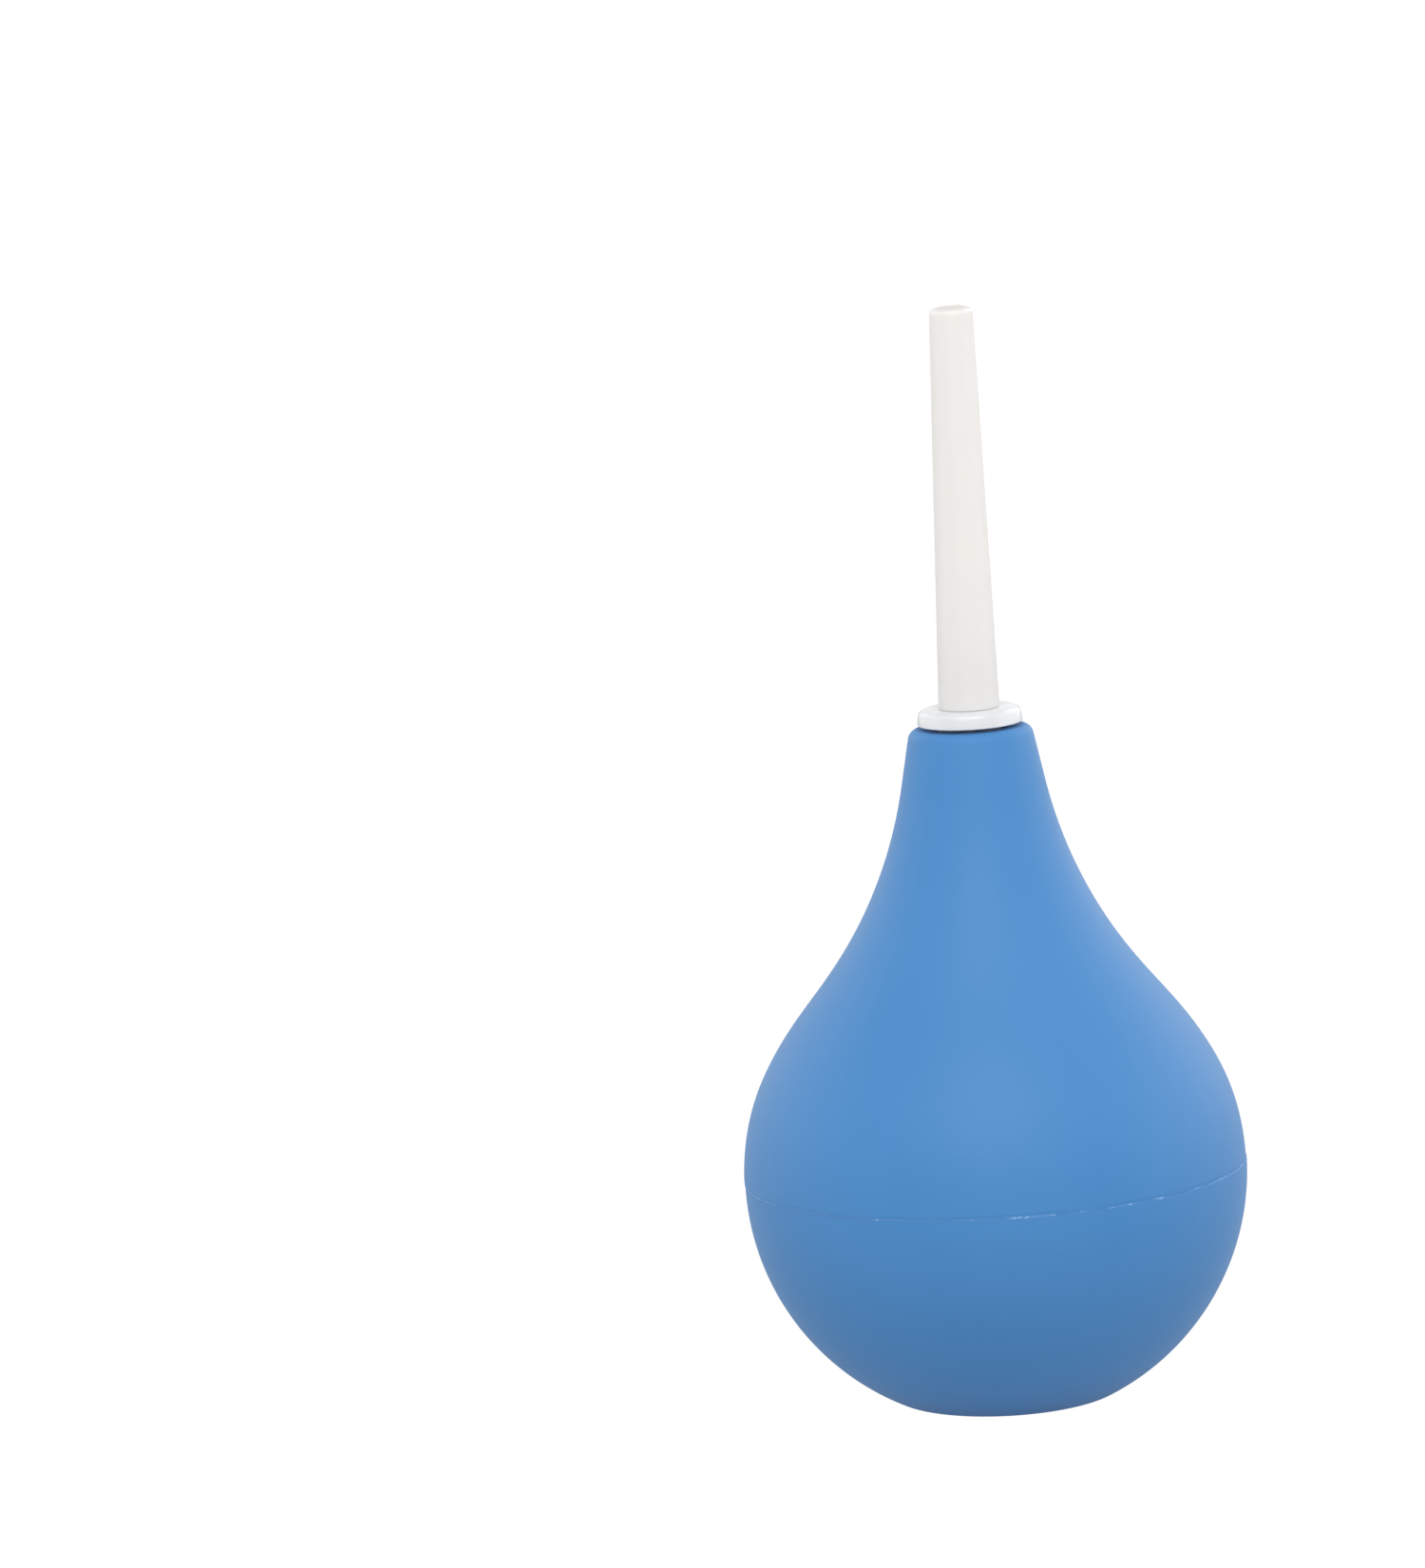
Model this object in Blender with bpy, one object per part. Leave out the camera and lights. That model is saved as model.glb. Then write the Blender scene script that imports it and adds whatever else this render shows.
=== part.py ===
"""Squeeze bulb with a push-in tapered nozzle, standing on its flat base.

Metres, +Z up. The origin is the middle of the base, and +Z runs up the axis to the nozzle's tip.
Every piece is turned about that axis: its outline is drawn in the XZ plane and swept by a Screw
modifier. The bulb's outline is a ball that a concave flare joins to a conical neck, and its inside
is the same outline moved in by the wall.
"""

from math import asin, atan2, cos, hypot, pi, radians, sin, sqrt, tan

import bpy

# Bulb, outside
BULB_RADIUS = 0.0430
BULB_HEIGHT = 0.1160  # base to the top of the neck
BASE_FLAT_RADIUS = 0.0166
BASE_EDGE_RADIUS = 0.0065  # rounding between the flat base and the ball
NECK_TOP_RADIUS = 0.0104
NECK_CONE_LENGTH = 0.0098  # height of the straight cone at the top of the neck
NECK_TAPER = radians(11.0)  # slope of that cone's side
LIP_RADIUS = 0.0018

# Bulb, walls and the joint between its two mouldings
WALL = 0.0026
SEAM_RISE = 0.0005  # the seam above the ball's widest circle
TONGUE_HEIGHT = 0.0040  # the lower rim reaches this far up inside the upper one
BORE_CHAMFER = 0.0006
BORE_RUN_ON = 0.0060  # plain bore below the end of the plug
THROAT_SHARE = 0.35  # how far round the flare the bore's throat opens into the ball

# Nozzle plug
FLANGE_RADIUS = 0.0090
FLANGE_THICKNESS = 0.0026
FLANGE_STANDOFF = 0.0008  # the flange above the neck's lip
FLANGE_TOP_ROUND = 0.0009
FLANGE_LOWER_ROUND = 0.0003
SPIGOT_LENGTH = 0.0170  # below the flange
SPIGOT_WALL = 0.0013
RIB_COUNT = 3
RIB_HEIGHT = 0.0006
RIB_LENGTH = 0.0036
RIB_PITCH = 0.0046
SOCKET_FLOOR = 0.0020  # the ledge that stops the tube's tail
AIR_HOLE_RADIUS = 0.0026
SPIGOT_LEAD = 0.0006  # chamfer at the spigot's lower edge

# Nozzle tube
TUBE_LENGTH = 0.0682  # above the flange
TUBE_ROOT_RADIUS = 0.0052
TUBE_TIP_RADIUS = 0.0037
TIP_BORE_RADIUS = 0.0015
TIP_ROUND = 0.0010
TIP_DOME = 0.0003  # rise of the tip's face towards its hole
SHOULDER_WIDTH = 0.0012  # the root stands this far out over the tail
TAIL_WALL = 0.0018
TAIL_CHAMFER = 0.0004

# Clearances
FIT_GAP = 0.0003  # between pieces that touch, and between sliding or turning pieces

# Fineness of the round shapes: flat sides round the axis, and steps along each arc of an outline
BULB_SIDES = 48
NOZZLE_SIDES = 36
LIP_STEPS = 4
FLARE_STEPS = 9
FLARE_INSIDE_STEPS = 6
SHOULDER_STEPS = 7
SHOULDER_INSIDE_STEPS = 6
BOWL_STEPS = 10
BOWL_INSIDE_STEPS = 9
BASE_EDGE_STEPS = 3
FLANGE_STEPS = 3
TIP_STEPS = 3
MERGE_DISTANCE = 0.00001  # joins a sweep's first and last side, and its points on the axis

# Worked out from the values above
TAIL_RADIUS = TUBE_ROOT_RADIUS - SHOULDER_WIDTH
SOCKET_RADIUS = TAIL_RADIUS + FIT_GAP
SPIGOT_RADIUS = SOCKET_RADIUS + SPIGOT_WALL
RIB_RADIUS = SPIGOT_RADIUS + RIB_HEIGHT
NECK_BORE_RADIUS = RIB_RADIUS + FIT_GAP

BALL_HEIGHT = BASE_EDGE_RADIUS + sqrt((BULB_RADIUS - BASE_EDGE_RADIUS) ** 2 - BASE_FLAT_RADIUS**2)
BASE_EDGE_ANGLE = atan2(BASE_EDGE_RADIUS - BALL_HEIGHT, BASE_FLAT_RADIUS)
SEAM_HEIGHT = BALL_HEIGHT + SEAM_RISE
TONGUE_THICKNESS = (WALL - FIT_GAP) / 2

FLANGE_BOTTOM = BULB_HEIGHT + FLANGE_STANDOFF
FLANGE_TOP = FLANGE_BOTTOM + FLANGE_THICKNESS
SPIGOT_BOTTOM = FLANGE_BOTTOM - SPIGOT_LENGTH
BORE_BOTTOM = SPIGOT_BOTTOM - BORE_RUN_ON
LEDGE_HEIGHT = SPIGOT_BOTTOM + SOCKET_FLOOR
TUBE_ROOT = FLANGE_TOP + FIT_GAP
TUBE_TIP = TUBE_ROOT + TUBE_LENGTH
TAIL_BOTTOM = LEDGE_HEIGHT + FIT_GAP


def clear_scene():
    for thing in list(bpy.data.objects):
        bpy.data.objects.remove(thing, do_unlink=True)


def arc(centre, radius, start, end, steps):
    """Points round a circle in the outline's plane, from one angle to another, ends included."""
    turns = [start + (end - start) * step / steps for step in range(steps + 1)]
    return [(centre[0] + radius * cos(a), centre[1] + radius * sin(a)) for a in turns]


def ball_arc(radius, low_angle, high_angle, steps):
    return arc((0.0, BALL_HEIGHT), radius, low_angle, high_angle, steps)


def ball_angle(radius, height):
    """Angle above the ball's widest circle at which a ball of this radius reaches a height."""
    return asin((height - BALL_HEIGHT) / radius)


def flare():
    """Centre and radius of the concave arc that runs from the foot of the neck's cone to the ball.

    The arc touches the cone at its foot, so its centre lies on the cone's normal there, and it
    touches the ball, so the two centres are the sum of the two radii apart.
    """
    normal = (cos(NECK_TAPER), sin(NECK_TAPER))
    foot_radius = NECK_TOP_RADIUS + NECK_CONE_LENGTH * tan(NECK_TAPER)
    foot_height = BULB_HEIGHT - NECK_CONE_LENGTH
    rise = foot_height - BALL_HEIGHT
    reach = hypot(foot_radius, rise)
    towards = foot_radius * normal[0] + rise * normal[1]
    radius = (reach**2 - BULB_RADIUS**2) / (2 * (BULB_RADIUS - towards))
    return (foot_radius + radius * normal[0], foot_height + radius * normal[1]), radius


FLARE_CENTRE, FLARE_RADIUS = flare()
SHOULDER_ANGLE = atan2(FLARE_CENTRE[1] - BALL_HEIGHT, FLARE_CENTRE[0])
THROAT_ANGLE = NECK_TAPER + THROAT_SHARE * (SHOULDER_ANGLE - NECK_TAPER)


def flare_arc(depth, start, end, steps):
    """The flare moved in by depth, between two angles of its surface's slope."""
    return arc(FLARE_CENTRE, FLARE_RADIUS + depth, start + pi, end + pi, steps)


def neck_lip():
    """Rounded top edge of the neck, from the flat top down to the cone."""
    flat_edge = NECK_TOP_RADIUS - LIP_RADIUS * (1 - sin(NECK_TAPER)) / cos(NECK_TAPER)
    return arc((flat_edge, BULB_HEIGHT - LIP_RADIUS), LIP_RADIUS, pi / 2, NECK_TAPER, LIP_STEPS)


def bulb_upper_outline():
    rim = SEAM_HEIGHT + FIT_GAP / 2
    rebate_top = SEAM_HEIGHT + TONGUE_HEIGHT + FIT_GAP
    inside = BULB_RADIUS - WALL
    rebate = inside + TONGUE_THICKNESS + FIT_GAP
    outline = [(NECK_BORE_RADIUS + BORE_CHAMFER, BULB_HEIGHT)]
    outline += neck_lip()
    outline += flare_arc(0.0, NECK_TAPER, SHOULDER_ANGLE, FLARE_STEPS)
    rim_angle = ball_angle(BULB_RADIUS, rim)
    outline += ball_arc(BULB_RADIUS, SHOULDER_ANGLE, rim_angle, SHOULDER_STEPS)[1:]
    outline += ball_arc(rebate, ball_angle(rebate, rim), ball_angle(rebate, rebate_top), 1)
    step_angle = ball_angle(inside, rebate_top)
    outline += ball_arc(inside, step_angle, SHOULDER_ANGLE, SHOULDER_INSIDE_STEPS)
    outline += flare_arc(WALL, SHOULDER_ANGLE, THROAT_ANGLE, FLARE_INSIDE_STEPS)[1:]
    outline += [(NECK_BORE_RADIUS, BORE_BOTTOM)]
    outline += [(NECK_BORE_RADIUS, BULB_HEIGHT - BORE_CHAMFER)]
    return outline


def bulb_lower_outline():
    rim = SEAM_HEIGHT - FIT_GAP / 2
    tongue_top = SEAM_HEIGHT + TONGUE_HEIGHT
    inside = BULB_RADIUS - WALL
    tongue = inside + TONGUE_THICKNESS
    edge_centre = (BASE_FLAT_RADIUS, BASE_EDGE_RADIUS)
    outline = [(0.0, WALL)]
    inner_edge = BASE_EDGE_RADIUS - WALL
    outline += arc(edge_centre, inner_edge, -pi / 2, BASE_EDGE_ANGLE, BASE_EDGE_STEPS)
    tongue_angle = ball_angle(inside, tongue_top)
    outline += ball_arc(inside, BASE_EDGE_ANGLE, tongue_angle, BOWL_INSIDE_STEPS)[1:]
    outline += ball_arc(tongue, ball_angle(tongue, tongue_top), ball_angle(tongue, rim), 1)
    rim_angle = ball_angle(BULB_RADIUS, rim)
    outline += ball_arc(BULB_RADIUS, rim_angle, BASE_EDGE_ANGLE, BOWL_STEPS)
    outline += arc(edge_centre, BASE_EDGE_RADIUS, BASE_EDGE_ANGLE, -pi / 2, BASE_EDGE_STEPS)[1:]
    outline += [(0.0, 0.0)]
    return outline


def rib(top):
    """One rib of the spigot, from its sharp upper edge down its long slope."""
    return [(SPIGOT_RADIUS, top), (RIB_RADIUS, top), (SPIGOT_RADIUS, top - RIB_LENGTH)]


def nozzle_plug_outline():
    top_round = (FLANGE_RADIUS - FLANGE_TOP_ROUND, FLANGE_TOP - FLANGE_TOP_ROUND)
    lower_round = (FLANGE_RADIUS - FLANGE_LOWER_ROUND, FLANGE_BOTTOM + FLANGE_LOWER_ROUND)
    ribs_span = (RIB_COUNT - 1) * RIB_PITCH + RIB_LENGTH
    first_rib = FLANGE_BOTTOM - (SPIGOT_LENGTH - ribs_span) / 2
    outline = [(SOCKET_RADIUS, FLANGE_TOP)]
    outline += arc(top_round, FLANGE_TOP_ROUND, pi / 2, 0.0, FLANGE_STEPS)
    outline += arc(lower_round, FLANGE_LOWER_ROUND, 0.0, -pi / 2, 1)
    outline += [(SPIGOT_RADIUS, FLANGE_BOTTOM)]
    for number in range(RIB_COUNT):
        outline += rib(first_rib - number * RIB_PITCH)
    outline += [(SPIGOT_RADIUS, SPIGOT_BOTTOM + SPIGOT_LEAD)]
    outline += [(SPIGOT_RADIUS - SPIGOT_LEAD, SPIGOT_BOTTOM)]
    outline += [(AIR_HOLE_RADIUS, SPIGOT_BOTTOM), (AIR_HOLE_RADIUS, LEDGE_HEIGHT)]
    outline += [(SOCKET_RADIUS, LEDGE_HEIGHT)]
    return outline


def nozzle_tube_outline():
    tip_round = (TUBE_TIP_RADIUS - TIP_ROUND, TUBE_TIP - TIP_DOME - TIP_ROUND)
    outline = [(TIP_BORE_RADIUS, TUBE_TIP)]
    outline += arc(tip_round, TIP_ROUND, pi / 2, 0.0, TIP_STEPS)
    outline += [(TUBE_ROOT_RADIUS, TUBE_ROOT), (TAIL_RADIUS, TUBE_ROOT)]
    outline += [(TAIL_RADIUS, TAIL_BOTTOM + TAIL_CHAMFER)]
    outline += [(TAIL_RADIUS - TAIL_CHAMFER, TAIL_BOTTOM)]
    outline += [(TAIL_RADIUS - TAIL_WALL, TAIL_BOTTOM)]
    return outline


def material(name, colour, roughness):
    made = bpy.data.materials.new(name)
    made.use_nodes = True
    shader = made.node_tree.nodes["Principled BSDF"]
    shader.inputs["Base Color"].default_value = (*colour, 1.0)
    shader.inputs["Roughness"].default_value = roughness
    shader.inputs["Metallic"].default_value = 0.0
    return made


def turned(name, outline, closed, sides, finish):
    """A piece swept round +Z from its outline, which runs down the outer side and up the inner.

    A closed outline makes a ring with a hole through it. An open one starts and ends on the axis.
    """
    count = len(outline)
    edges = [(point, point + 1) for point in range(count - 1)]
    if closed:
        edges.append((count - 1, 0))
    mesh = bpy.data.meshes.new(name)
    mesh.from_pydata([(radius, 0.0, height) for radius, height in outline], edges, [])
    piece = bpy.data.objects.new(name, mesh)
    bpy.context.scene.collection.objects.link(piece)
    sweep = piece.modifiers.new("sweep", "SCREW")
    sweep.axis = "Z"
    sweep.angle = 2 * pi
    sweep.steps = sides
    sweep.render_steps = sides
    sweep.use_merge_vertices = True
    sweep.merge_threshold = MERGE_DISTANCE
    sweep.use_smooth_shade = True
    mesh.materials.append(finish)
    return piece


def build():
    clear_scene()
    bulb_blue = material("bulb_blue", (0.102, 0.314, 0.645), 0.55)
    plug_white = material("plug_white", (0.86, 0.87, 0.88), 0.25)
    tube_white = material("tube_white", (0.88, 0.85, 0.81), 0.45)
    turned("bulb_lower", bulb_lower_outline(), False, BULB_SIDES, bulb_blue)
    turned("bulb_upper", bulb_upper_outline(), True, BULB_SIDES, bulb_blue)
    turned("nozzle_plug", nozzle_plug_outline(), True, NOZZLE_SIDES, plug_white)
    turned("nozzle_tube", nozzle_tube_outline(), True, NOZZLE_SIDES, tube_white)


build()
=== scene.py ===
"""Looks of the squeeze bulb: its two skins, the seam between them, the nozzle, the studio, the camera.

Metres, +Z up, the origin in the middle of the flat base. Every piece is turned about +Z: an outline in
the plane of radius and height is carried round the axis, and small irregularities are added to the grid
of points that this gives. The front of the bulb faces -Y.
"""

from math import asin, atan2, cos, hypot, pi, radians, sin, sqrt, tan

import bpy
import numpy as np
from mathutils import Matrix, Vector


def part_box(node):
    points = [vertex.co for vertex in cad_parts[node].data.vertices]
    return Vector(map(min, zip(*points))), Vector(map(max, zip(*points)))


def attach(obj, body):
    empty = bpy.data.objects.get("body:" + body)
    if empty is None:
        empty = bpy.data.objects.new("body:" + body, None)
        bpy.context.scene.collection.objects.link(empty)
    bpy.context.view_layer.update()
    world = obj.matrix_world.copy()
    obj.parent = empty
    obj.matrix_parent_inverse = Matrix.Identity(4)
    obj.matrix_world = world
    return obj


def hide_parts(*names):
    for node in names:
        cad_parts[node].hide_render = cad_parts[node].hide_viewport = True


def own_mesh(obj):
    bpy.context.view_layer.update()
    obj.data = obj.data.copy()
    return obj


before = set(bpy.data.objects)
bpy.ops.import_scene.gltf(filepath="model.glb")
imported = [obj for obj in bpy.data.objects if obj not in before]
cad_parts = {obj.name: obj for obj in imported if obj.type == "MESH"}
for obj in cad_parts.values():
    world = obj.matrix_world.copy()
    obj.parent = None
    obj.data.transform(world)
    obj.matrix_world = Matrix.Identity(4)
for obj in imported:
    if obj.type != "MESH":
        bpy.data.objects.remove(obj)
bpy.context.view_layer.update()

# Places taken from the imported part
BULB_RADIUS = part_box("bulb_upper")[1].x
BULB_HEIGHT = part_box("bulb_upper")[1].z
FLANGE_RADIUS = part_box("nozzle_plug")[1].x
FLANGE_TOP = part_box("nozzle_plug")[1].z
SPIGOT_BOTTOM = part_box("nozzle_plug")[0].z
TUBE_ROOT_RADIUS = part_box("nozzle_tube")[1].x
TUBE_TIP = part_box("nozzle_tube")[1].z
TAIL_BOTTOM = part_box("nozzle_tube")[0].z

# Bulb
BASE_FLAT_RADIUS = 0.0166
BASE_EDGE_RADIUS = 0.0065
NECK_TOP_RADIUS = 0.0104
NECK_CONE_LENGTH = 0.0098
NECK_TAPER = radians(11.0)
LIP_RADIUS = 0.0018
WALL = 0.0026
NECK_BORE_RADIUS = 0.0065
BORE_ROUND = 0.0005
BORE_RUN_ON = 0.0060
THROAT_SHARE = 0.35
LIP_RAISE = 0.00008  # the soft lip swells up a little towards the flange
SHOULDER_EASE_REACH = 0.010  # the ball's arc is eased into the flare's this far from where they meet
SHOULDER_EASE_PASSES = 60
HOLLOW_HEIGHT = 0.061
HOLLOW_SPREAD = 0.0075
HOLLOW_DEPTH = 0.00022  # how far inside the eased arcs the shoulder is
BULB_SIDES = 288

# Joint between the two halves
SEAM_RISE = 0.0005
TONGUE_HEIGHT = 0.0040
LAP_GAP = 0.0003
RIM_GAP = 0.00003  # half the crack left between the two rims
RIM_ROUND = 0.00012
GROOVE_RISE = 0.00028  # middle of the shallow groove above the upper rim
GROOVE_WIDTH = 0.00020
GROOVE_DEPTH = 0.00009
GROOVE_CHANGE = 0.25  # share of the depth that comes and goes round the bulb
GROOVE_REACH = 0.0004  # only points this near the widest radius are on the outside
HALVES_SHIFT = 0.00007  # each half sits this far to one side, where the mould did not quite meet
SEAM_REACH = 0.0030  # the outline is drawn finely this far from the seam

# Nozzle plug
FLANGE_THICKNESS = 0.00267
FLANGE_DRAFT = radians(9.0)
FLANGE_TOP_ROUND = 0.0011
FLANGE_LOWER_ROUND = 0.00025
SPIGOT_RADIUS = 0.0056
RIB_COUNT = 3
RIB_HEIGHT = 0.0006
RIB_LENGTH = 0.0036
RIB_PITCH = 0.0046
RIB_ROUND = 0.00012
SOCKET_RADIUS = 0.0043
SOCKET_FLOOR = 0.0020
SOCKET_ROUND = 0.00015
AIR_HOLE_RADIUS = 0.0026
SPIGOT_LEAD = 0.0006
PLUG_SIDES = 160

# Nozzle tube
TUBE_TIP_RADIUS = 0.0037
TIP_BORE_RADIUS = 0.0015
TIP_ROUND = 0.0010
TIP_DOME = 0.0003
TIP_HOLE_ROUND = 0.0003
ROOT_ROUND = 0.00012
ROOT_GAP = 0.00003  # the tube's root above the flange
TAIL_RADIUS = 0.0040
TAIL_WALL = 0.0018
TAIL_CHAMFER = 0.0004
TUBE_LEAN = 0.0105  # sideways per height: the tube stands a little off the axis in its socket
TUBE_SIDES = 128

# Worked out from the values above
BALL_HEIGHT = BASE_EDGE_RADIUS + sqrt((BULB_RADIUS - BASE_EDGE_RADIUS) ** 2 - BASE_FLAT_RADIUS**2)
BASE_EDGE_ANGLE = atan2(BASE_EDGE_RADIUS - BALL_HEIGHT, BASE_FLAT_RADIUS)
SEAM_HEIGHT = BALL_HEIGHT + SEAM_RISE
INSIDE_RADIUS = BULB_RADIUS - WALL
TONGUE_RADIUS = INSIDE_RADIUS + (WALL - LAP_GAP) / 2
REBATE_RADIUS = TONGUE_RADIUS + LAP_GAP
FLANGE_BOTTOM = FLANGE_TOP - FLANGE_THICKNESS
LEDGE_HEIGHT = SPIGOT_BOTTOM + SOCKET_FLOOR
TUBE_ROOT = FLANGE_TOP + ROOT_GAP
BORE_BOTTOM = SPIGOT_BOTTOM - BORE_RUN_ON
FRONT = -pi / 2


# Outlines: arrays of (radius, height)


def line(start, end, steps):
    """Points evenly spaced from start to end: start plus share times (end - start)."""
    share = np.linspace(0.0, 1.0, steps + 1)[:, None]
    return np.array(start) + share * (np.array(end) - np.array(start))


def arc(centre, radius, start, end, steps):
    """Points round a circle: centre plus radius times (cos angle, sin angle), the angle evenly spaced."""
    angles = np.linspace(start, end, steps + 1)
    return np.array(centre) + radius * np.stack([np.cos(angles), np.sin(angles)], axis=1)


def joined(*parts):
    """Several runs of points as one, with each point that repeats the one before it left out."""
    points = np.vstack([np.atleast_2d(part) for part in parts])
    step = np.linalg.norm(np.diff(points, axis=0), axis=1)
    return points[np.concatenate([[True], step > 1e-7])]


def ball_arc(radius, start, end, steps):
    """Points round a circle of this radius about the ball's middle."""
    return arc((0.0, BALL_HEIGHT), radius, start, end, steps)


def ball_angle(radius, height):
    """Angle above the ball's widest circle where a ball of this radius reaches a height."""
    return asin((height - BALL_HEIGHT) / radius)


def flare():
    """Centre and radius of the concave arc between the neck's cone and the ball.

    The centre lies on the cone's normal at its foot, and the two centres are the two radii apart.
    """
    normal = (cos(NECK_TAPER), sin(NECK_TAPER))
    foot_radius = NECK_TOP_RADIUS + NECK_CONE_LENGTH * tan(NECK_TAPER)
    foot_height = BULB_HEIGHT - NECK_CONE_LENGTH
    rise = foot_height - BALL_HEIGHT
    reach = hypot(foot_radius, rise)
    towards = foot_radius * normal[0] + rise * normal[1]
    radius = (reach**2 - BULB_RADIUS**2) / (2 * (BULB_RADIUS - towards))
    return (foot_radius + radius * normal[0], foot_height + radius * normal[1]), radius


FLARE_CENTRE, FLARE_RADIUS = flare()
SHOULDER_ANGLE = atan2(FLARE_CENTRE[1] - BALL_HEIGHT, FLARE_CENTRE[0])
THROAT_ANGLE = NECK_TAPER + THROAT_SHARE * (SHOULDER_ANGLE - NECK_TAPER)


def eased(points, height, reach, passes):
    """Points near a height drawn towards their neighbours, so that the curve's bend changes gradually.

    Each pass moves a point exp(-((its height - height) / reach)^2) of the way to the average of the
    point before it, twice itself and the point after it.
    """
    nearness = np.exp(-(((points[1:-1, 1] - height) / reach) ** 2))[:, None]
    for _ in range(passes):
        average = (points[:-2] + 2 * points[1:-1] + points[2:]) / 4
        points[1:-1] += nearness * (average - points[1:-1])
    return points


def upper_outline():
    """The upper half's outline, down the outside from the neck's mouth and up the inside.

    Outside, the two arcs are eased into each other where they meet, and the shoulder below that loses
    depth times exp(-((height - hollow height) / spread)^2) of its radius.
    """
    lip_edge = NECK_TOP_RADIUS - LIP_RADIUS * (1 - sin(NECK_TAPER)) / cos(NECK_TAPER)
    lip_centre = (lip_edge, BULB_HEIGHT + LIP_RAISE - LIP_RADIUS)
    mouth_centre = (NECK_BORE_RADIUS + BORE_ROUND, BULB_HEIGHT + LIP_RAISE - BORE_ROUND)
    rim = SEAM_HEIGHT + RIM_GAP
    near_rim = ball_angle(BULB_RADIUS, rim + SEAM_REACH)
    rim_corner = (BULB_RADIUS - RIM_ROUND, rim + RIM_ROUND)
    rebate_top = SEAM_HEIGHT + TONGUE_HEIGHT + LAP_GAP
    throat = FLARE_CENTRE - (FLARE_RADIUS + WALL) * np.array([cos(THROAT_ANGLE), sin(THROAT_ANGLE)])
    outside = joined(
        arc(lip_centre, LIP_RADIUS, pi / 2, NECK_TAPER, 16),
        arc(FLARE_CENTRE, FLARE_RADIUS, NECK_TAPER + pi, SHOULDER_ANGLE + pi, 56),
        ball_arc(BULB_RADIUS, SHOULDER_ANGLE, near_rim, 36),
        ball_arc(BULB_RADIUS, near_rim, ball_angle(BULB_RADIUS, rim + RIM_ROUND), 40),
    )
    arcs_meet = BALL_HEIGHT + BULB_RADIUS * sin(SHOULDER_ANGLE)
    outside = eased(outside, arcs_meet, SHOULDER_EASE_REACH, SHOULDER_EASE_PASSES)
    from_hollow = (outside[:, 1] - HOLLOW_HEIGHT) / HOLLOW_SPREAD
    outside[:, 0] -= HOLLOW_DEPTH * np.exp(-(from_hollow**2))
    return joined(
        arc(mouth_centre, BORE_ROUND, pi, pi / 2, 6),
        outside,
        arc(rim_corner, RIM_ROUND, 0.0, -pi / 2, 4),
        line((BULB_RADIUS - 2 * RIM_ROUND, rim), (REBATE_RADIUS, rim), 2),
        line((REBATE_RADIUS, rim), (REBATE_RADIUS, rebate_top), 2),
        ball_arc(INSIDE_RADIUS, ball_angle(INSIDE_RADIUS, rebate_top), SHOULDER_ANGLE, 20),
        arc(FLARE_CENTRE, FLARE_RADIUS + WALL, SHOULDER_ANGLE + pi, THROAT_ANGLE + pi, 18),
        line(throat, (NECK_BORE_RADIUS, BORE_BOTTOM), 4),
        line((NECK_BORE_RADIUS, BORE_BOTTOM), (NECK_BORE_RADIUS, BULB_HEIGHT - 2 * BORE_ROUND), 8),
    )


def lower_outline():
    """The lower half's outline, from the axis inside, up to the tongue, and down outside to the base."""
    edge_centre = (BASE_FLAT_RADIUS, BASE_EDGE_RADIUS)
    inner_edge = BASE_EDGE_RADIUS - WALL
    rim = SEAM_HEIGHT - RIM_GAP
    tongue_top = SEAM_HEIGHT + TONGUE_HEIGHT
    near_rim = ball_angle(BULB_RADIUS, rim - SEAM_REACH)
    rim_corner = (BULB_RADIUS - RIM_ROUND, rim - RIM_ROUND)
    return joined(
        (0.0, WALL),
        line((BASE_FLAT_RADIUS / 2, WALL), (BASE_FLAT_RADIUS, WALL), 3),
        arc(edge_centre, inner_edge, -pi / 2, BASE_EDGE_ANGLE, 6),
        ball_arc(INSIDE_RADIUS, BASE_EDGE_ANGLE, ball_angle(INSIDE_RADIUS, tongue_top), 28),
        line((TONGUE_RADIUS, tongue_top), (TONGUE_RADIUS, rim), 2),
        line((TONGUE_RADIUS, rim), (BULB_RADIUS - 2 * RIM_ROUND, rim), 2),
        arc(rim_corner, RIM_ROUND, pi / 2, 0.0, 4),
        ball_arc(BULB_RADIUS, ball_angle(BULB_RADIUS, rim - RIM_ROUND), near_rim, 24),
        ball_arc(BULB_RADIUS, near_rim, BASE_EDGE_ANGLE, 48),
        arc(edge_centre, BASE_EDGE_RADIUS, BASE_EDGE_ANGLE, -pi / 2, 14),
        line((BASE_FLAT_RADIUS * 0.98, 0.0), (BASE_FLAT_RADIUS / 2, 0.0), 4),
        (0.0, 0.0),
    )


def rib_outline(top):
    """One rib of the spigot: a ledge with a rounded corner, then a long slope back to the spigot."""
    corner = (SPIGOT_RADIUS + RIB_HEIGHT - RIB_ROUND, top - RIB_ROUND)
    return joined(
        (SPIGOT_RADIUS, top),
        arc(corner, RIB_ROUND, pi / 2, 0.0, 4),
        (SPIGOT_RADIUS, top - RIB_LENGTH),
    )


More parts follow.
